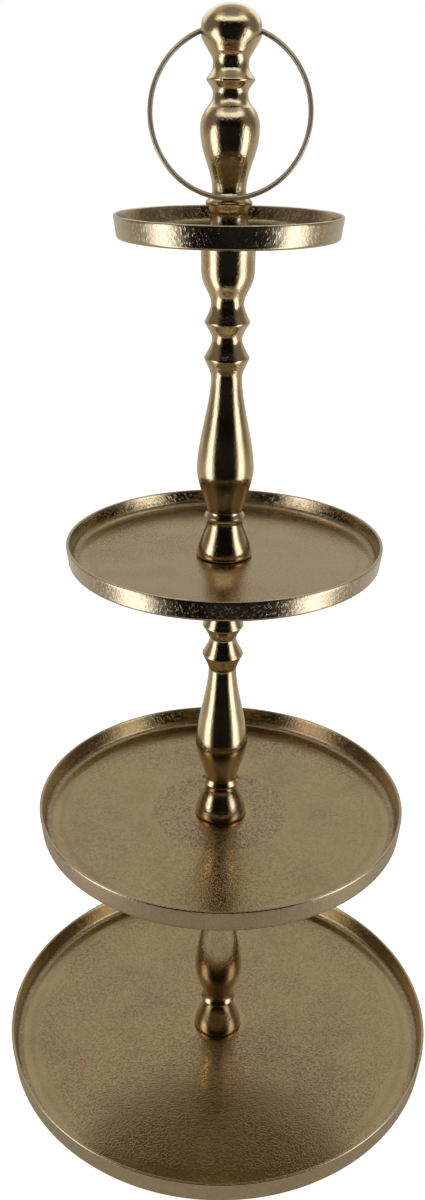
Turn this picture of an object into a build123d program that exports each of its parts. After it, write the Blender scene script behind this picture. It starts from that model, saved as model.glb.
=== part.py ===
"""A four-tier cake stand: cast trays on turned columns, with a finial and a ring to carry it by.

Millimetres, +Z up. The origin is on the stand's axis, at the surface that its feet stand on.
The front, where the ring leans, faces -Y.
"""
from build123d import *
import math
import os
from dataclasses import dataclass

# ---- driving dimensions -------------------------------------------------------------------
foot_height = 7.0            # rubber feet, tall enough to keep the screw head off the table
foot_radius = 9.0
foot_taper = 1.2             # how much narrower a foot is at the table
foot_edge_round = 1.0
foot_circle_radius = 168.0
foot_count = 4

tray_names = ["base_tray", "lower_tray", "middle_tray", "top_tray"]
tray_radii = [200.0, 160.5, 127.0, 83.0]      # outside of the rim, bottom tier first
tray_heights = [21.5, 20.0, 16.5, 16.5]       # underside to the top of the rim
floor_thickness = 3.0
rim_top_width = 2.6
rim_root_width = 3.8
rim_outer_draft = 1.6        # how far the rim leans out from its foot to its top
rim_foot_round = 2.6
rim_top_round = 1.0
inner_corner_round = 1.5
stud_clearance_radius = 4.4  # hole through each tray

column_names = ["lower_column", "middle_column", "upper_column"]
column_length = 245.0
finial_height = 148.0

thread_radius = 4.0          # M8 studs and screw, drawn at their outside diameter
thread_gap = 0.05            # between a stud and its tapped hole
thread_depth = 20.0          # how far a stud goes into a casting
spare_depth = 3.0            # tapped hole left empty past the stud's upper end
stud_end_chamfer = 0.8

screw_head_radius = 7.0
screw_head_height = 4.4
screw_head_round = 2.5
screw_hex_across_flats = 5.0
screw_hex_depth = 2.6
washer_radius = 11.0
washer_thickness = 1.6
washer_hole_radius = 4.2

knob_half_width = 21.0
knob_hole_height = 132.5     # above the finial's foot
knob_hole_radius = 4.6
ring_wire_radius = 1.75
ring_outer_radius = 57.0
ring_lean_deg = 8.9          # from hanging straight down to resting on the finial's front

# ---- heights that follow from them ---------------------------------------------------------
tier_pitch = column_length + floor_thickness
tray_bottoms = [foot_height + tier * tier_pitch for tier in range(len(tray_names))]
tray_floors = [bottom + floor_thickness for bottom in tray_bottoms]
finial_foot = tray_floors[-1]
ring_radius = ring_outer_radius - ring_wire_radius


@dataclass
class Station:
    """A waist, bead or swelling of a turned outline, where the outline runs straight up
    unless it leans. Softness is the share of the stretch to the next station that keeps
    its direction: small makes a tight bead, large a long flank. Leans are in degrees,
    outwards going up."""

    height: float
    radius: float
    softness: float
    lean_below: float = 0.0
    lean_above: float = 0.0


COLUMN_STATIONS = [
    Station(0.0, 20.8, 0.50, 0, 50),
    Station(1.6, 22.3, 0.28),      # widest part of the flared foot
    Station(30.6, 13.7, 0.30),
    Station(33.6, 16.2, 0.10),     # sharp collar above the foot
    Station(37.8, 14.0, 0.18),
    Station(71.5, 22.4, 0.31),     # belly of the vase
    Station(144.4, 11.8, 0.29),
    Station(158.9, 17.2, 0.10),    # lower bead, with a sharp ridge
    Station(172.7, 11.3, 0.34),
    Station(185.4, 17.1, 0.10),    # upper bead
    Station(198.6, 12.3, 0.34),
    Station(224.5, 19.8, 0.57),    # drum under the tray
    Station(column_length, 20.4, 0.25),
]

FINIAL_STATIONS = [
    Station(0.0, 15.4, 0.30),
    Station(13.5, 13.4, 0.45),
    Station(21.3, 16.8, 0.20),     # collar
    Station(29.0, 12.1, 0.35),
    Station(70.8, 20.9, 0.43),     # belly of the vase
    Station(83.5, 16.3, 0.21, -38, -52),
    Station(92.5, 12.2, 0.42),
    Station(100.9, 16.9, 0.16),    # sharp bead
    Station(109.6, 12.3, 0.45),
    Station(118.3, 15.4, 0.42, 38, 30),
    Station(131.5, knob_half_width, 0.44),
]
DOME_SIDE_PULL = 0.54        # how long the knob's side stays upright, as a share of the dome
DOME_TOP_PULL = 0.66         # how wide its crown stays level, as a share of its radius


# ---- shared shapes -------------------------------------------------------------------------
def stretch(low, high):
    """The smooth outline from one station up to the next."""
    rise = high.height - low.height
    start_lean = math.tan(math.radians(low.lean_above))
    end_lean = math.tan(math.radians(high.lean_below))
    start_pull = low.softness * rise
    end_pull = high.softness * rise
    return Bezier(
        (low.radius, low.height),
        (low.radius + start_lean * start_pull, low.height + start_pull),
        (high.radius - end_lean * end_pull, high.height - end_pull),
        (high.radius, high.height),
    )


def turned_outline(stations):
    """The stretches of a whole turned outline, from its foot up."""
    return [stretch(low, high) for low, high in zip(stations, stations[1:])]


def turned_solid(edges):
    """The solid that the closed outline in edges makes when it is turned about Z."""
    with BuildPart() as part:
        with BuildSketch(Plane.XZ):
            with BuildLine():
                for edge in edges:
                    add(edge)
            make_face()
        revolve(axis=Axis.Z)
    return part.part


def upright_cylinder(radius, bottom, top):
    """A cylinder on the axis, between two heights."""
    return Pos(0, 0, (bottom + top) / 2) * Cylinder(radius, top - bottom)


def write(name, shape):
    """Writes one node's STEP file."""
    shape.label = name
    export_step(shape, f"parts/{name}.step")


# ---- sub-parts -----------------------------------------------------------------------------
def make_tray(radius, height):
    """A cast tray with an upright rim and a hole for the stud, standing on z = 0."""
    foot_edge = radius - rim_outer_draft
    inner_top = radius - rim_top_width
    inner_foot = foot_edge - rim_root_width
    with BuildPart() as tray:
        with BuildSketch(Plane.XZ) as section:
            with BuildLine():
                Polyline(
                    (stud_clearance_radius, 0),
                    (foot_edge, 0),
                    (radius, height),
                    (inner_top, height),
                    (inner_foot, floor_thickness),
                    (stud_clearance_radius, floor_thickness),
                    close=True,
                )
            make_face()
            fillet(section.vertices().group_by(Axis.Y)[-1], rim_top_round)
            fillet(section.vertices().sort_by_distance((foot_edge, 0))[0], rim_foot_round)
            inner_corner = (inner_foot, floor_thickness)
            fillet(section.vertices().sort_by_distance(inner_corner)[0], inner_corner_round)
        revolve(axis=Axis.Z)
    return tray.part


def make_column():
    """A turned column standing on z = 0, with a tapped hole in each end."""
    outline = turned_outline(COLUMN_STATIONS)
    top_radius = COLUMN_STATIONS[-1].radius
    foot_edge = COLUMN_STATIONS[0].radius
    outline.append(Line((top_radius, column_length), (0, column_length)))
    outline.append(Line((0, column_length), (0, 0)))
    outline.append(Line((0, 0), (foot_edge, 0)))
    tapped_radius = thread_radius + thread_gap
    column = turned_solid(outline)
    column -= upright_cylinder(tapped_radius, 0, thread_depth + spare_depth)
    column -= upright_cylinder(tapped_radius, column_length - thread_depth, column_length)
    return column


def make_finial():
    """The finial standing on z = 0, with the ring's hole across its knob."""
    outline = turned_outline(FINIAL_STATIONS)
    side = FINIAL_STATIONS[-1]
    dome = finial_height - side.height
    outline.append(
        Bezier(
            (side.radius, side.height),
            (side.radius, side.height + DOME_SIDE_PULL * dome),
            (DOME_TOP_PULL * side.radius, finial_height),
            (0, finial_height),
        )
    )
    foot_edge = FINIAL_STATIONS[0].radius
    outline.append(Line((0, finial_height), (0, 0)))
    outline.append(Line((0, 0), (foot_edge, 0)))
    finial = turned_solid(outline)
    finial -= upright_cylinder(thread_radius + thread_gap, 0, thread_depth + spare_depth)
    cross_hole = Cylinder(knob_hole_radius, 3 * knob_half_width, rotation=(0, 90, 0))
    finial -= Pos(0, 0, knob_hole_height) * cross_hole
    return finial


def make_ring():
    """The carrying ring, hanging from the knob's hole and leaning on the finial's front."""
    sagitta = ring_radius - math.sqrt(ring_radius**2 - knob_half_width**2)
    drop = ring_radius - sagitta / 2      # hole's axis down to the ring's centre
    ring = Torus(ring_radius, ring_wire_radius, rotation=(90, 0, 0))
    hanging = Pos(0, 0, -drop) * ring
    hole_centre = Pos(0, 0, finial_foot + knob_hole_height)
    return hole_centre * Rot(-ring_lean_deg, 0, 0) * hanging


def make_stud():
    """A threaded stud that joins two castings through a tray, centred on z = 0."""
    half = thread_depth + floor_thickness / 2
    stud = upright_cylinder(thread_radius, -half, half)
    return chamfer(stud.edges().filter_by(GeomType.CIRCLE), stud_end_chamfer)


def make_base_screw():
    """The button-head screw under the base tray, with its shank's foot on z = 0."""
    shank = upright_cylinder(thread_radius, 0, washer_thickness + floor_thickness + thread_depth)
    head = upright_cylinder(screw_head_radius, -screw_head_height, 0)
    head = fillet(head.edges().sort_by(Axis.Z)[0], screw_head_round)
    socket = extrude(RegularPolygon(screw_hex_across_flats / 2, 6, major_radius=False), screw_hex_depth)
    return shank + head - Pos(0, 0, -screw_head_height) * socket


def make_washer():
    """The plain washer between the screw's head and the base tray, on z = 0."""
    disc = upright_cylinder(washer_radius, 0, washer_thickness)
    return disc - upright_cylinder(washer_hole_radius, 0, washer_thickness)


def make_foot():
    """A tapered rubber foot standing on z = 0."""
    foot = Pos(0, 0, foot_height / 2) * Cone(foot_radius - foot_taper, foot_radius, foot_height)
    return fillet(foot.edges().sort_by(Axis.Z)[0], foot_edge_round)


# ---- the whole stand -----------------------------------------------------------------------
os.makedirs("parts", exist_ok=True)

for name, radius, height, bottom in zip(tray_names, tray_radii, tray_heights, tray_bottoms):
    write(name, Pos(0, 0, bottom) * make_tray(radius, height))

for name, floor in zip(column_names, tray_floors):
    write(name, Pos(0, 0, floor) * make_column())

write("finial", Pos(0, 0, finial_foot) * make_finial())
write("ring_handle", make_ring())

for name, bottom in zip(["lower_stud", "middle_stud", "upper_stud"], tray_bottoms[1:]):
    write(name, Pos(0, 0, bottom + floor_thickness / 2) * make_stud())

write("base_washer", Pos(0, 0, foot_height - washer_thickness) * make_washer())
write("base_screw", Pos(0, 0, foot_height - washer_thickness) * make_base_screw())

for number, place in enumerate(PolarLocations(foot_circle_radius, foot_count, start_angle=45), 1):
    write(f"rubber_foot_{number}", place * make_foot())
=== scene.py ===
"""Looks for the tiered cake stand: cast trays on polished columns, in a small studio.

Metres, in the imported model's own frame: +Z up, and the front faces -Y.
"""

import math

import bpy
from mathutils import Matrix, Vector, noise


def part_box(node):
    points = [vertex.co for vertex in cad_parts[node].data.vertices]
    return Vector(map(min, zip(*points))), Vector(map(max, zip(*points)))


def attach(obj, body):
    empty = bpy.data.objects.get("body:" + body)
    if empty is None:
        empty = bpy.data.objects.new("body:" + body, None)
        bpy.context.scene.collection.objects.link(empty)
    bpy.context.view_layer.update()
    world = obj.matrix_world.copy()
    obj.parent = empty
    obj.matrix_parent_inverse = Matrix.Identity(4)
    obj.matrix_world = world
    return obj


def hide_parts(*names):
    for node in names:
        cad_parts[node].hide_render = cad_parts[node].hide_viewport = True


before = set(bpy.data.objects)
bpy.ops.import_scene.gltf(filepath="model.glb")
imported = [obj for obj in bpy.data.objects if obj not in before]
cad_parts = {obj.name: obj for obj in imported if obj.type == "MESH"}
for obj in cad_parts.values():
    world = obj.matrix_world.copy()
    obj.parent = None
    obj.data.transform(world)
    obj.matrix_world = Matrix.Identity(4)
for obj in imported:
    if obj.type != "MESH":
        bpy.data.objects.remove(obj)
bpy.context.view_layer.update()

MM = 0.001

# ---- camera ---------------------------------------------------------------------------------
CAMERA_PLACE = (-0.009, -0.8464, 0.840)
CAMERA_PITCH = math.radians(23.894)
CAMERA_ROLL = math.radians(0.566)
LENS_MM = 33.64

# ---- studio: azimuths are seen from the stand, from the front (0) round to either side -------
FRONT_LIGHT = 0.005                  # the camera's side of the room is dark
SIDE_TINT = (1.0, 0.92, 0.81)        # warm walls in front and at the sides
BACK_TINT = (1.0, 0.965, 0.91)
LIGHT_TINT = (0.95, 1.0, 1.12)       # the lamps are cooler than the room
SIDE_LOW_LIGHT = 0.45                # the side walls below the horizon, above it and at their top
SIDE_LIGHT = 0.2
SIDE_TOP_LIGHT = 0.5
BACK_LIGHT = 0.58
CEILING_LIGHT = 0.3
SIDE_FADE = (0.6, 1.2)               # azimuths where the front turns into the sides, in radians
BACK_FADE = (1.8, 2.4)               # and the sides into the back
HORIZON_FADE = (-0.2, 0.0)           # upward parts of a direction where the walls change
SIDE_TOP_FADE = (0.62, 0.9)
CEILING_FADE = (0.86, 0.97)
SCREEN_LIGHT = 2.4                   # two upright curved screens, one each side of the camera
SCREEN_RADIUS = 0.80
SCREEN_AZIMUTHS = (44, 65, 92)       # inner edge, brightest line and outer edge, in degrees
SCREEN_HEIGHTS = (-0.45, 0.98)
SCREEN_TOP_FADE = 0.22
SCREEN_SLANT = 0.5                   # how much lower its top is towards the outer edge, per radian
HOOD_LIGHT = 1.5                     # a curved wall in front, above the finial, with one bright line
HOOD_DIM_LIGHT = 0.34
HOOD_RADIUS = 0.38
HOOD_AZIMUTHS = (58, 84)             # where it starts to fade, and its end
HOOD_HEIGHTS = (1.08, 1.18, 1.30, 1.46, 2.0)     # foot, bright line from and to, dim part, top
HALO_LIGHT = 0.75                    # a curved wall close behind, just above the finial
HALO_RADIUS = 0.45
HALO_AZIMUTHS = (112, 132)
HALO_HEIGHTS = (0.96, 1.04, 1.24, 1.46)
WALL_STEPS = 24                      # flat pieces along a curved wall
TABLE_RADIUS = 0.50                  # how far the floor shows in the stand's reflections
TABLE_TINT = (1.0, 0.92, 0.82)
TABLE_LIGHT = 0.4                    # the table top as reflections see it, the same all round
TABLE_FADE = 0.15
FLOOR_RADIUS = 8
FLOOR_WHITE = (0.85, 0.85, 0.85)
FLOOR_GLOW = 0.9
WHITE = (1.0, 1.0, 1.0)

# ---- trays ----------------------------------------------------------------------------------
TRAYS = {       # roughness of the outside; how pitted the floor is near the column and elsewhere
    "base_tray": (0.44, 0.6, 0.5),
    "lower_tray": (0.38, 0.9, 0.2),
    "middle_tray": (0.14, 0.1, 0.0),
    "top_tray": (0.14, 0.2, 0.1),
}
SATIN_ROUGH = 0.5                    # an outside this rough is not polished at all
POLISHED_ROUGH = 0.13                # and one this smooth is fully polished
FLOOR_ROUGH = 0.17
INNER_ROUGH = 0.10
LEDGE_ROUGH = 0.12
UNDER_ROUGH = 0.42
COVE_ROUGH = 0.26
EDGE_ROUGH = 0.16
PITTED_RADIUS = 62.0 * MM            # the floor round a column's foot is more pitted
FLOOR_THICKNESS = 3.0 * MM
RIM_TOP_WIDTH = 2.6 * MM
RIM_ROOT_WIDTH = 3.8 * MM
RIM_DRAFT = 1.6 * MM
RIM_TOP_ROUND = 1.0 * MM
RIM_FOOT_ROUND = 2.6 * MM
CORNER_ROUND = 5.0 * MM
LEDGE_WIDTH = 11.0 * MM
LEDGE_RISE = 0.15 * MM
LEDGE_SLOPE = 6.0 * MM
LEDGE_STEPS = 8
HOLE_RADIUS = 4.4 * MM
COLUMN_ROOM = 26.0 * MM              # the floor stays flat under a column's foot
COLUMN_GAP = 2.0 * MM                # from there to the first uneven ring
TRAY_TURNS = 480
FLOOR_GAP = 3.5 * MM                 # between rings on the floor
WALL_GAP = 1.5 * MM                  # on the rim's walls
LEDGE_GAP = 2.0 * MM
UNDER_GAP = 12.0 * MM
EDGE_STEPS = 5                       # rings round an edge of the rim's top
CORNER_STEPS = 7                     # and round its two larger corners
FLOOR_UNEVEN = 0.03 * MM             # how far casting and finishing cut into each surface
LEDGE_UNEVEN = 0.04 * MM
UNDER_UNEVEN = 0.05 * MM
EDGE_UNEVEN = 0.1 * MM
OUTER_UNEVEN = 0.12 * MM
INNER_UNEVEN = 0.25 * MM
UNEVEN_SCALE = 60                    # lumps per metre, with finer ones on top
FINER_SCALE = 2.7
EDGE_WEAR = 0.45
PLAIN_SURFACE = {"rough": FLOOR_ROUGH, "wear": 0.0, "grime": 0.0, "wall": 0.0, "relief": 0.0, "pitted": 0.0}

# ---- metals ---------------------------------------------------------------------------------
CAST_GOLD = (0.50, 0.40, 0.21)
CAST_BROWN = (0.505, 0.375, 0.205)
STAIN_BROWN = (0.36, 0.26, 0.13)
PIT_DARK = (0.2, 0.145, 0.095)
# painted shade: the dark colour laid into the trays' groove, inner corner, inner walls and underside
PAINTED_SHADE_DARK = (0.17, 0.12, 0.07)
# painted highlight: the pale colour for glints on the trays' walls
PAINTED_GLINT_PALE = (0.78, 0.7, 0.58)
WORN_PALE = (0.66, 0.57, 0.42)
COLUMN_BRASS = (0.66, 0.52, 0.3)
RING_BRASS = (0.6, 0.5, 0.34)
BRASS_PIT = (0.30, 0.21, 0.11)
CLOUD_SIZE = 70 * MM                 # sizes of the marks on the trays
STAIN_SIZE = 38 * MM
PIT_SIZE = 1.75 * MM
PEEL_SIZE = 2.2 * MM
FLECK_SIZE = 2.0 * MM
BRUSH_SIZE = 0.6 * MM
PIT_HEIGHT = 0.045 * MM
PEEL_HEIGHT = 0.018 * MM
WAVE_HEIGHT = 0.035 * MM             # slow waves in the polished castings


# ---- node helpers ---------------------------------------------------------------------------
def plug(tree, socket, value):
    """Links a socket to another, or sets its value."""
    if isinstance(value, bpy.types.NodeSocket):
        tree.links.new(value, socket)
    else:
        socket.default_value = value


def add(tree, kind, settings=None, **inputs):
    """Adds a node. Settings are its properties; inputs are named with _ for spaces."""
    made = tree.nodes.new("ShaderNode" + kind)
    for name, value in (settings or {}).items():
        setattr(made, name, value)
    for name, value in inputs.items():
        plug(tree, made.inputs[name.replace("_", " ")], value)
    return made


def maths(tree, operation, *values):
    """A Math node's result."""
    made = add(tree, "Math", {"operation": operation})
    for socket, value in zip(made.inputs, values):
        plug(tree, socket, value)
    return made.outputs[0]


def ramp(tree, value, low, high, to_low=0.0, to_high=1.0):
    """A smooth change from to_low to to_high, as value goes from low to high."""
    made = add(tree, "MapRange", {"interpolation_type": "SMOOTHSTEP"})
    for name, number in zip(("From Min", "From Max", "To Min", "To Max"), (low, high, to_low, to_high)):
        made.inputs[name].default_value = number
    plug(tree, made.inputs["Value"], value)
    return made.outputs["Result"]


def blend_numbers(tree, share, a, b):
    """a where share is 0, and b where it is 1."""
    made = add(tree, "Mix", {"data_type": "FLOAT"})
    for socket, value in zip((made.inputs[0], made.inputs[2], made.inputs[3]), (share, a, b)):
        plug(tree, socket, value)
    return made.outputs[0]


def blend_colours(tree, share, a, b):
    """Colour a where share is 0, and b where it is 1."""
    made = add(tree, "Mix", {"data_type": "RGBA"})
    for socket, value in zip((made.inputs[0], made.inputs[6], made.inputs[7]), (share, a, b)):
        plug(tree, socket, (*value, 1.0) if isinstance(value, tuple) else value)
    return made.outputs[2]


# ---- studio ---------------------------------------------------------------------------------
def azimuth_from(tree, x, y):
    """The angle from the front, 0 to pi, of the direction or place (x, y)."""
    return maths(tree, "ABSOLUTE", maths(tree, "ARCTAN2", x, maths(tree, "MULTIPLY", y, -1.0)))


def make_room():
    """Dim pale walls behind, a dark front and a grey ceiling; the camera sees plain white."""
    world = bpy.data.worlds.new("studio")
    bpy.context.scene.world = world
    world.use_nodes = True
    tree = world.node_tree
    tree.nodes.clear()
    split = add(tree, "SeparateXYZ", Vector=add(tree, "TexCoord").outputs["Generated"])
    x, y, z = split.outputs
    azimuth = azimuth_from(tree, x, y)
    side_light = ramp(tree, z, *SIDE_TOP_FADE, SIDE_LIGHT, SIDE_TOP_LIGHT)
    side_light = blend_numbers(tree, ramp(tree, z, *HORIZON_FADE), SIDE_LOW_LIGHT, side_light)
    light = blend_numbers(tree, ramp(tree, azimuth, *SIDE_FADE), FRONT_LIGHT, side_light)
    light = blend_numbers(tree, ramp(tree, azimuth, *BACK_FADE), light, BACK_LIGHT)
    light = blend_numbers(tree, ramp(tree, z, *CEILING_FADE), light, CEILING_LIGHT)
    tint = blend_colours(tree, ramp(tree, azimuth, *BACK_FADE), SIDE_TINT, BACK_TINT)
    room = add(tree, "Background", Color=tint, Strength=light)
    backdrop = add(tree, "Background", Color=(*WHITE, 1.0), Strength=1.0)
    pick = add(tree, "MixShader", Fac=add(tree, "LightPath").outputs["Is Camera Ray"])
    tree.links.new(room.outputs[0], pick.inputs[1])
    tree.links.new(backdrop.outputs[0], pick.inputs[2])
    add(tree, "OutputWorld", Surface=pick.outputs[0])


def glowing(name, share):
    """A material that adds its light to what is behind it; share makes the strength."""
    material = bpy.data.materials.new(name)
    material.use_nodes = True
    tree = material.node_tree
    tree.nodes.clear()
    glow = add(tree, "Emission", Color=(*LIGHT_TINT, 1.0), Strength=share(tree))
    both = add(tree, "AddShader")
    tree.links.new(glow.outputs[0], both.inputs[0])
    tree.links.new(add(tree, "BsdfTransparent").outputs[0], both.inputs[1])
    add(tree, "OutputMaterial", Surface=both.outputs[0])
    return material


def light_panel(name, points, faces, material):
    """A light that the camera does not see, made from a mesh."""
    mesh = bpy.data.meshes.new(name)
    mesh.from_pydata(points, [], faces)
    mesh.materials.append(material)
    panel = bpy.data.objects.new(name, mesh)
    panel.visible_camera = False
    panel.visible_shadow = False
    bpy.context.scene.collection.objects.link(panel)


def rise_and_fall(tree, value, foot, low, high, top):
    """0 before foot, 1 from low to high and 0 after top, with smooth slopes."""
    return maths(tree, "MULTIPLY", ramp(tree, value, foot, low), ramp(tree, value, high, top, 1.0, 0.0))


def wall_place(tree):
    """The azimuth and the height of a place on a curved wall."""
    x, y, z = add(tree, "SeparateXYZ", Vector=add(tree, "TexCoord").outputs["Object"]).outputs
    return azimuth_from(tree, x, y), z


def screen_share(tree):
    """A screen's light: brightest along one upright line, and soft at its edges."""
    azimuth, height = wall_place(tree)
    inner, middle, outer = (math.radians(edge) for edge in SCREEN_AZIMUTHS)
    bottom, top = SCREEN_HEIGHTS
    across = rise_and_fall(tree, azimuth, inner, middle, middle, outer)
    past = maths(tree, "MAXIMUM", maths(tree, "SUBTRACT", azimuth, middle), 0.0)
    height = maths(tree, "ADD", height, maths(tree, "MULTIPLY", past, SCREEN_SLANT))
    up = rise_and_fall(tree, height, bottom, 0.0, top - SCREEN_TOP_FADE, top)
    shape = maths(tree, "MULTIPLY", across, up)
    return maths(tree, "MULTIPLY", shape, SCREEN_LIGHT)


def hood_share(tree):
    """The hood's light: one bright level line, dimmer above it and fading at its ends."""
    azimuth, height = wall_place(tree)
    foot, line, line_end, dim, top = HOOD_HEIGHTS
    bright = ramp(tree, height, line_end, dim, HOOD_LIGHT, HOOD_DIM_LIGHT)
    up = maths(tree, "MULTIPLY", rise_and_fall(tree, height, foot, line, dim, top), bright)
    first, last = (math.radians(edge) for edge in HOOD_AZIMUTHS)
    return maths(tree, "MULTIPLY", up, ramp(tree, azimuth, first, last, 1.0, 0.0))


def halo_share(tree):
    """The halo's light: even, and soft at its edges."""
    azimuth, height = wall_place(tree)
    first, last = (math.radians(edge) for edge in HALO_AZIMUTHS)
    up = rise_and_fall(tree, height, *HALO_HEIGHTS)
    shape = maths(tree, "MULTIPLY", up, ramp(tree, azimuth, first, last))
    return maths(tree, "MULTIPLY", shape, HALO_LIGHT)


def make_curved_wall(name, radius, first, last, heights, share):
    """A light on an upright cylinder round the stand, between two signed azimuths in degrees."""
    points = []
    for step in range(WALL_STEPS + 1):
        azimuth = math.radians(first + (last - first) * step / WALL_STEPS)
        for height in heights:
            points.append((radius * math.sin(azimuth), -radius * math.cos(azimuth), height))
    faces = [(2 * k, 2 * k + 2, 2 * k + 3, 2 * k + 1) for k in range(WALL_STEPS)]
    light_panel(name, points, faces, glowing(name + "_light", share))


def make_lights():
    """A screen each side of the camera, and the hood and the halo round the finial's top."""
    inner, _, outer = SCREEN_AZIMUTHS
    make_curved_wall("screen_right", SCREEN_RADIUS, inner, outer, SCREEN_HEIGHTS, screen_share)
    make_curved_wall("screen_left", SCREEN_RADIUS, -outer, -inner, SCREEN_HEIGHTS, screen_share)
    hood_end = HOOD_AZIMUTHS[1]
    hood_heights = (HOOD_HEIGHTS[0], HOOD_HEIGHTS[-1])
    make_curved_wall("hood", HOOD_RADIUS, -hood_end, hood_end, hood_heights, hood_share)
    halo_start = HALO_AZIMUTHS[0]
    halo_heights = (HALO_HEIGHTS[0], HALO_HEIGHTS[-1])
    make_curved_wall("halo", HALO_RADIUS, halo_start, 360 - halo_start, halo_heights, halo_share)


def make_floor():
    """A wide white floor. In reflections it is only an evenly lit table top round the stand."""
    bpy.ops.mesh.primitive_circle_add(vertices=96, radius=FLOOR_RADIUS, fill_type="NGON")
    floor = bpy.context.object
    floor.name = "floor"
    material = bpy.data.materials.new("pale_floor")
    material.use_nodes = True
    tree = material.node_tree
    tree.nodes.clear()
    path = add(tree, "LightPath")
    where = add(tree, "TexCoord").outputs["Object"]
    length = add(tree, "VectorMath", {"operation": "LENGTH"})
    plug(tree, length.inputs[0], where)
    on_table = ramp(tree, length.outputs["Value"], TABLE_RADIUS, TABLE_RADIUS + TABLE_FADE, 1.0, 0.0)
    matt = add(tree, "BsdfDiffuse", Color=(*FLOOR_WHITE, 1.0))
    glow = add(tree, "Emission", Color=(*WHITE, 1.0), Strength=FLOOR_GLOW)
    seen = add(tree, "AddShader")
    tree.links.new(matt.outputs[0], seen.inputs[0])
    tree.links.new(glow.outputs[0], seen.inputs[1])
    mirrored = add(tree, "Emission", Color=(*TABLE_TINT, 1.0), Strength=TABLE_LIGHT)
    clear = add(tree, "BsdfTransparent")
    table = add(tree, "MixShader", Fac=on_table)
    tree.links.new(clear.outputs[0], table.inputs[1])
    tree.links.new(mirrored.outputs[0], table.inputs[2])
    pick = add(tree, "MixShader", Fac=path.outputs["Is Glossy Ray"])
    tree.links.new(seen.outputs[0], pick.inputs[1])
    tree.links.new(table.outputs[0], pick.inputs[2])
    add(tree, "OutputMaterial", Surface=pick.outputs[0])
    floor.data.materials.append(material)


def make_camera():
    """The camera, in front of the stand and below its top, looking down."""
    data = bpy.data.cameras.new("camera")
    data.lens = LENS_MM
    data.sensor_width = 36.0
    camera = bpy.data.objects.new("camera", data)
    bpy.context.scene.collection.objects.link(camera)
    turn = Matrix.Rotation(math.pi / 2 - CAMERA_PITCH, 4, "X") @ Matrix.Rotation(CAMERA_ROLL, 4, "Z")
    camera.matrix_world = Matrix.Translation(CAMERA_PLACE) @ turn
    bpy.context.scene.camera = camera


# ---- materials ------------------------------------------------------------------------------
def start_metal(name):
    """A material with its node tree and its metal shader."""
    material = bpy.data.materials.new(name)
    material.use_nodes = True
    shader = material.node_tree.nodes["Principled BSDF"]
    shader.inputs["Metallic"].default_value = 1.0
    return material, material.node_tree, shader


def grain(tree, where, size, detail=2.0, stretch=(1.0, 1.0, 1.0)):
    """Noise with lumps of the given size in metres, made longer along an axis by stretch."""
    scale = tuple(1.0 / (size * s) for s in stretch)
    sized = add(tree, "VectorMath", {"operation": "MULTIPLY"})
    plug(tree, sized.inputs[0], where)
    sized.inputs[1].default_value = scale
    made = add(tree, "TexNoise", Vector=sized.outputs[0], Scale=1.0, Detail=detail)
    return made.outputs["Fac"]


def bumped(tree, height, distance, below=None):
    """A bump of the given height in metres, on top of another."""
    made = add(tree, "Bump", Height=height, Distance=distance, Strength=1.0)
    if below is not None:
        plug(tree, made.inputs["Normal"], below)
    return made.outputs["Normal"]


def unrolled(tree):
    """Coordinates for a turned wall: along it, up it and out from the axis."""
    where = add(tree, "TexCoord").outputs["Object"]
    split = add(tree, "SeparateXYZ", Vector=where)
    x, y, z = split.outputs
    angle = maths(tree, "ARCTAN2", x, maths(tree, "MULTIPLY", y, -1.0))
    squares = maths(tree, "ADD", maths(tree, "MULTIPLY", x, x), maths(tree, "MULTIPLY", y, y))
    radius = maths(tree, "SQRT", squares)
    along = maths(tree, "MULTIPLY", angle, radius)
    return add(tree, "CombineXYZ", X=along, Y=z, Z=radius).outputs[0]


def attribute(tree, name):
    """A value painted on the mesh."""
    return add(tree, "Attribute", {"attribute_name": name}).outputs["Fac"]


def tray_colour(tree, marks, pitted):
    """The trays' colour: clouds and stains, then pits or flecks, painted shade, painted glints and worn
    edges.
    """
    clouds, stains, pits, flecks = marks
    relief = attribute(tree, "relief")
    colour = blend_colours(tree, ramp(tree, clouds, 0.40, 0.60), CAST_GOLD, CAST_BROWN)
    colour = blend_colours(tree, ramp(tree, stains, 0.50, 0.70, 0.0, 0.22), colour, STAIN_BROWN)
    pit_marks = maths(tree, "MULTIPLY", ramp(tree, pits, 0.30, 0.46, 1.0, 0.0), pitted)
    strength = maths(tree, "ADD", pitted, 0.45)
    speckle = maths(tree, "MULTIPLY", ramp(tree, pits, 0.36, 0.62, 0.42, 0.0), strength)
    pit_marks = maths(tree, "MAXIMUM", pit_marks, speckle)
    fleck_marks = maths(tree, "MULTIPLY", ramp(tree, flecks, 0.36, 0.58, 0.2, 0.0), relief)
    dark = blend_numbers(tree, attribute(tree, "wall"), pit_marks, fleck_marks)
    colour = blend_colours(tree, dark, colour, PIT_DARK)
    # painted shade: darker along the ledge's groove, in the inner corner, on the inner wall and under the
    # tray
    colour = blend_colours(tree, attribute(tree, "grime"), colour, PAINTED_SHADE_DARK)
    # painted highlights: pale glints on the walls' flecks, stronger where the relief is
    painted_glints = maths(tree, "MULTIPLY", ramp(tree, flecks, 0.56, 0.68, 0.0, 0.14), relief)
    colour = blend_colours(tree, painted_glints, colour, PAINTED_GLINT_PALE)
    return blend_colours(tree, attribute(tree, "wear"), colour, WORN_PALE)


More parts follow.
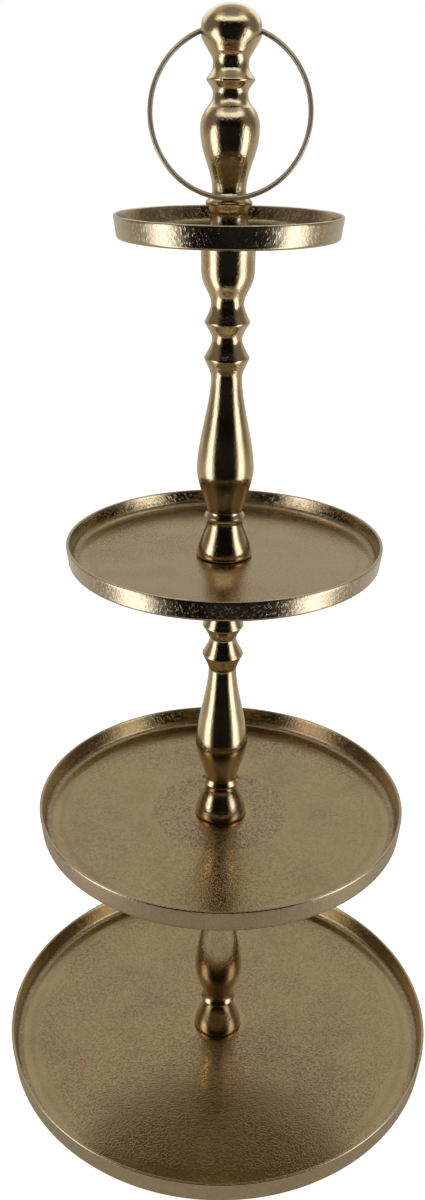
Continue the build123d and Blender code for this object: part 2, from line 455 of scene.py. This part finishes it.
def tray_normal(tree, where, wall, pits, flecks, pitted):
    """The trays' small relief: pits and orange peel on the floor, pocks and brushing on walls."""
    brush = grain(tree, wall, BRUSH_SIZE, 2.0, (1.0, 18.0, 18.0))
    depth = maths(tree, "ADD", maths(tree, "MULTIPLY", pitted, 2.4), 1.1)
    floor_height = maths(tree, "MULTIPLY", ramp(tree, pits, 0.28, 0.56), depth)
    pocks = ramp(tree, flecks, 0.54, 0.66, 0.0, 0.5)
    wall_height = maths(tree, "ADD", maths(tree, "ADD", flecks, pocks), maths(tree, "MULTIPLY", brush, 0.35))
    wall_height = maths(tree, "MULTIPLY", wall_height, attribute(tree, "relief"))
    height = blend_numbers(tree, attribute(tree, "wall"), floor_height, wall_height)
    normal = bumped(tree, height, PIT_HEIGHT)
    return bumped(tree, grain(tree, where, PEEL_SIZE, 2.0), PEEL_HEIGHT, normal)


def tray_metal():
    """Cast aluminium with an antique brass finish: a fine-pitted floor, mottled walls, worn edges."""
    material, tree, shader = start_metal("cast_brass")
    where = add(tree, "TexCoord").outputs["Object"]
    wall = unrolled(tree)
    clouds = grain(tree, where, CLOUD_SIZE, 3.0)
    stains = grain(tree, where, STAIN_SIZE, 4.0)
    pits = grain(tree, where, PIT_SIZE, 3.0)
    flecks = grain(tree, wall, FLECK_SIZE, 4.0, (1.0, 1.5, 1.5))
    cloudy_pits = ramp(tree, clouds, 0.46, 0.62, 0.0, 0.25)
    pitted = maths(tree, "ADD", attribute(tree, "pitted"), cloudy_pits)
    rough = maths(tree, "ADD", attribute(tree, "rough"), ramp(tree, stains, 0.35, 0.65, -0.02, 0.05))
    plug(tree, shader.inputs["Base Color"], tray_colour(tree, (clouds, stains, pits, flecks), pitted))
    plug(tree, shader.inputs["Roughness"], rough)
    plug(tree, shader.inputs["Normal"], tray_normal(tree, where, wall, pits, flecks, pitted))
    return material


def polished_metal(name, colour, roughness, relief):
    """Polished brass finish with small casting pits and a slightly wavy surface."""
    material, tree, shader = start_metal(name)
    where = add(tree, "TexCoord").outputs["Object"]
    cloud = grain(tree, where, 16 * MM, 3.0)
    pits = grain(tree, where, 1.5 * MM, 2.0)
    darker = tuple(0.84 * c for c in colour)
    tone = blend_colours(tree, ramp(tree, cloud, 0.35, 0.65), colour, darker)
    tone = blend_colours(tree, ramp(tree, pits, 0.26, 0.38, 0.6, 0.0), tone, BRASS_PIT)
    plug(tree, shader.inputs["Base Color"], tone)
    rough = ramp(tree, cloud, 0.3, 0.7, roughness, roughness + 0.06)
    plug(tree, shader.inputs["Roughness"], rough)
    normal = bumped(tree, ramp(tree, pits, 0.26, 0.50), PIT_HEIGHT * relief)
    normal = bumped(tree, grain(tree, where, 4.0 * MM, 2.0), WAVE_HEIGHT * relief, normal)
    plug(tree, shader.inputs["Normal"], normal)
    return material


def steel():
    """Zinc-plated steel."""
    material, tree, shader = start_metal("zinc_steel")
    where = add(tree, "TexCoord").outputs["Object"]
    cloud = grain(tree, where, 3 * MM, 3.0)
    tone = blend_colours(tree, cloud, (0.62, 0.63, 0.64), (0.5, 0.5, 0.5))
    plug(tree, shader.inputs["Base Color"], tone)
    plug(tree, shader.inputs["Roughness"], ramp(tree, cloud, 0.3, 0.7, 0.25, 0.4))
    return material


def rubber():
    """Matt black moulded rubber."""
    material, tree, shader = start_metal("foot_rubber")
    shader.inputs["Metallic"].default_value = 0.0
    where = add(tree, "TexCoord").outputs["Object"]
    fine = grain(tree, where, 0.8 * MM, 3.0)
    tone = blend_colours(tree, fine, (0.025, 0.025, 0.025), (0.045, 0.043, 0.04))
    plug(tree, shader.inputs["Base Color"], tone)
    plug(tree, shader.inputs["Roughness"], ramp(tree, fine, 0.3, 0.7, 0.6, 0.75))
    plug(tree, shader.inputs["Normal"], bumped(tree, fine, 0.05 * MM))
    return material


def paint(names, material):
    """Gives CAD nodes a material."""
    for name in names:
        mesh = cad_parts[name].data
        mesh.materials.clear()
        mesh.materials.append(material)


# ---- trays ----------------------------------------------------------------------------------
def arc(centre, radius, start, end, steps):
    """Points on an arc, with angles in degrees from outwards (+r) turning up."""
    points = []
    for step in range(steps + 1):
        angle = math.radians(start + (end - start) * step / steps)
        points.append((centre[0] + radius * math.cos(angle), centre[1] + radius * math.sin(angle)))
    return points


def spaced(start, end, gap):
    """Points from start to just before end, about gap apart."""
    length = math.dist(start, end)
    count = max(1, round(length / gap))
    return [
        (start[0] + (end[0] - start[0]) * k / count, start[1] + (end[1] - start[1]) * k / count)
        for k in range(count)
    ]


def ramp_between(value, start, end):
    """0 at start and 1 at end."""
    return min(max((value - start) / (end - start), 0.0), 1.0)


def surfaced(points, uneven=0.0, **values):
    """Rings at these points: radius, height, how far finishing may cut in, and surface values."""
    surface = {**PLAIN_SURFACE, **values}
    return [(radius, height, uneven, surface) for radius, height in points]


def floor_rings(floor, slope_start, near_pits, far_pits):
    """The floor, from the stud's hole out to where it starts to rise to the ledge."""
    near = spaced((COLUMN_ROOM + COLUMN_GAP, floor), (PITTED_RADIUS, floor), FLOOR_GAP)
    far = spaced((PITTED_RADIUS, floor), (slope_start - 3 * MM, floor), FLOOR_GAP)
    return [
        *surfaced([(HOLE_RADIUS, floor), (COLUMN_ROOM, floor)]),
        *surfaced(near, FLOOR_UNEVEN, pitted=near_pits),
        *surfaced(far, FLOOR_UNEVEN, pitted=far_pits),
        *surfaced([(slope_start - 2.0 * MM, floor)], FLOOR_UNEVEN),
    ]


def slope_rings(floor, slope_start):
    """The soft rise from the floor to the ledge."""
    rings = []
    for step in range(LEDGE_STEPS + 1):
        share = step / LEDGE_STEPS
        rise = LEDGE_RISE * (1 - math.cos(math.pi * share)) / 2
        rough = FLOOR_ROUGH + (LEDGE_ROUGH - FLOOR_ROUGH) * share
        point = (slope_start + LEDGE_SLOPE * share, floor + rise)
        # painted shade along the groove where the floor rises to the ledge
        rings += surfaced([point], rough=rough, grime=0.12 * math.sin(math.pi * share))
    return rings


def inner_rings(ledge, slope_start, inner_foot, lean, wall_end):
    """The ledge, the round inner corner and the rim's inner wall."""
    corner = (inner_foot - CORNER_ROUND * math.tan((math.pi / 2 - lean) / 2), ledge + CORNER_ROUND)
    ledge_start = (slope_start + LEDGE_SLOPE + 1.5 * MM, ledge)
    flat = spaced(ledge_start, (corner[0], ledge), LEDGE_GAP)
    cove = arc(corner, CORNER_ROUND, -90, -math.degrees(lean), CORNER_STEPS)
    wall = spaced(cove[-1], wall_end, WALL_GAP)[1:]
    return [
        *surfaced(flat, LEDGE_UNEVEN, rough=LEDGE_ROUGH, wear=0.1),
        # painted shade in the inner corner and, more lightly, on the inner wall
        *surfaced(cove, EDGE_UNEVEN, rough=COVE_ROUGH, grime=0.25, wall=0.6, relief=2.4),
        *surfaced(wall, INNER_UNEVEN, rough=INNER_ROUGH, grime=0.12, wall=1.0, relief=2.2),
    ]


def outer_rings(radius, foot_edge, bottom, top, outer_rough):
    """The rim's outer wall, its rounded foot and the underside, back to the stud's hole."""
    foot_round = (foot_edge - RIM_FOOT_ROUND, bottom + RIM_FOOT_ROUND)
    polish = ramp_between(outer_rough, SATIN_ROUGH, POLISHED_ROUGH)
    relief = 0.8 + 1.5 * polish
    start = (radius, top - RIM_TOP_ROUND - 0.8 * MM)
    wall = spaced(start, (foot_edge, foot_round[1]), WALL_GAP)
    foot = arc(foot_round, RIM_FOOT_ROUND, 0, -90, CORNER_STEPS)
    below = spaced((foot_edge - RIM_FOOT_ROUND - 2 * MM, bottom), (HOLE_RADIUS, bottom), UNDER_GAP)
    wear = 0.25 + 0.25 * polish
    return [
        *surfaced(wall, OUTER_UNEVEN, rough=outer_rough, wear=wear, wall=1.0, relief=relief),
        *surfaced(foot, UNDER_UNEVEN, rough=outer_rough, wear=0.4 * polish, wall=0.5, relief=relief),
        # painted shade under the tray
        *surfaced([*below, (HOLE_RADIUS, bottom)], rough=UNDER_ROUGH, grime=0.2),
    ]


def tray_outline(radius, bottom, top, finish):
    """A tray's section as rings, from the stud's hole over the floor and rim, and back under."""
    outer_rough, near_pits, far_pits = finish
    floor = bottom + FLOOR_THICKNESS
    ledge = floor + LEDGE_RISE
    foot_edge = radius - RIM_DRAFT
    inner_foot = foot_edge - RIM_ROOT_WIDTH
    inner_top = radius - RIM_TOP_WIDTH
    slope_start = inner_foot - LEDGE_WIDTH - LEDGE_SLOPE
    lean = math.atan2(inner_top - inner_foot, top - ledge)
    inner_round = (inner_top + RIM_TOP_ROUND * 1.05, top - RIM_TOP_ROUND)
    outer_round = (radius - RIM_TOP_ROUND, top - RIM_TOP_ROUND)
    wall_end = (inner_round[0] - RIM_TOP_ROUND, inner_round[1])
    inner_edge = arc(inner_round, RIM_TOP_ROUND, 180, 90, EDGE_STEPS)
    outer_edge = arc(outer_round, RIM_TOP_ROUND, 90, 0, EDGE_STEPS)
    return [
        *floor_rings(floor, slope_start, near_pits, far_pits),
        *slope_rings(floor, slope_start),
        *inner_rings(ledge, slope_start, inner_foot, lean, wall_end),
        *surfaced(inner_edge + outer_edge, EDGE_UNEVEN, rough=EDGE_ROUGH, wear=EDGE_WEAR),
        *outer_rings(radius, foot_edge, bottom, top, outer_rough),
    ]


def unevenness(x, y, height, seed):
    """From about 0 to 1: how much of its depth finishing cuts away at a place."""
    spot = Vector((x, y, height)) * UNEVEN_SCALE + Vector((seed, 0, 0))
    return (noise.noise(spot) + 0.5 * noise.noise(spot * FINER_SCALE) + 1.0) / 2


def ring_points(ring, seed):
    """The points of one ring, each moved a little into the metal."""
    radius, height, uneven, _ = ring
    points = []
    for turn in range(TRAY_TURNS):
        angle = 2 * math.pi * turn / TRAY_TURNS
        x = math.cos(angle)
        y = math.sin(angle)
        drop = uneven * unevenness(x * radius, y * radius, height, seed) if uneven else 0.0
        points.append(((radius - drop) * x, (radius - drop) * y, height - 0.5 * drop))
    return points


def ring_faces(count):
    """Faces between each ring and the next, and between the last and the first."""
    faces = []
    for ring in range(count):
        here = ring * TRAY_TURNS
        over = (ring + 1) % count * TRAY_TURNS
        for turn in range(TRAY_TURNS):
            beside = (turn + 1) % TRAY_TURNS
            faces.append((here + turn, over + turn, over + beside, here + beside))
    return faces


def make_tray(name, material, seed, finish):
    """A finely turned tray that stands for the CAD one, with a slightly uneven surface."""
    low, high = (Vector(corner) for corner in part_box(name))
    rings = tray_outline(high.x, low.z, high.z, finish)
    points = [point for ring in rings for point in ring_points(ring, seed)]
    faces = ring_faces(len(rings))
    mesh = bpy.data.meshes.new(name + "_metal")
    mesh.from_pydata(points, [], faces)
    mesh.polygons.foreach_set("use_smooth", [True] * len(faces))
    for label in PLAIN_SURFACE:
        layer = mesh.attributes.new(label, "FLOAT", "POINT")
        layer.data.foreach_set("value", [ring[3][label] for ring in rings for _ in range(TRAY_TURNS)])
    mesh.materials.append(material)
    mesh.validate()
    tray = bpy.data.objects.new(name + "_metal", mesh)
    bpy.context.scene.collection.objects.link(tray)
    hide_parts(name)
    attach(tray, "stand")


# ---- the whole scene --------------------------------------------------------------------------
bpy.context.scene.view_settings.view_transform = "Standard"
make_camera()
make_room()
make_lights()
make_floor()

cast = tray_metal()
for seed, (tray_name, finish) in enumerate(TRAYS.items()):
    make_tray(tray_name, cast, seed, finish)
paint(["lower_column", "middle_column", "upper_column", "finial"],
      polished_metal("polished_brass", COLUMN_BRASS, 0.1, 1.0))
paint(["ring_handle"], polished_metal("ring_brass", RING_BRASS, 0.42, 0.3))
paint(["lower_stud", "middle_stud", "upper_stud", "base_screw", "base_washer"], steel())
paint([f"rubber_foot_{number}" for number in range(1, 5)], rubber())
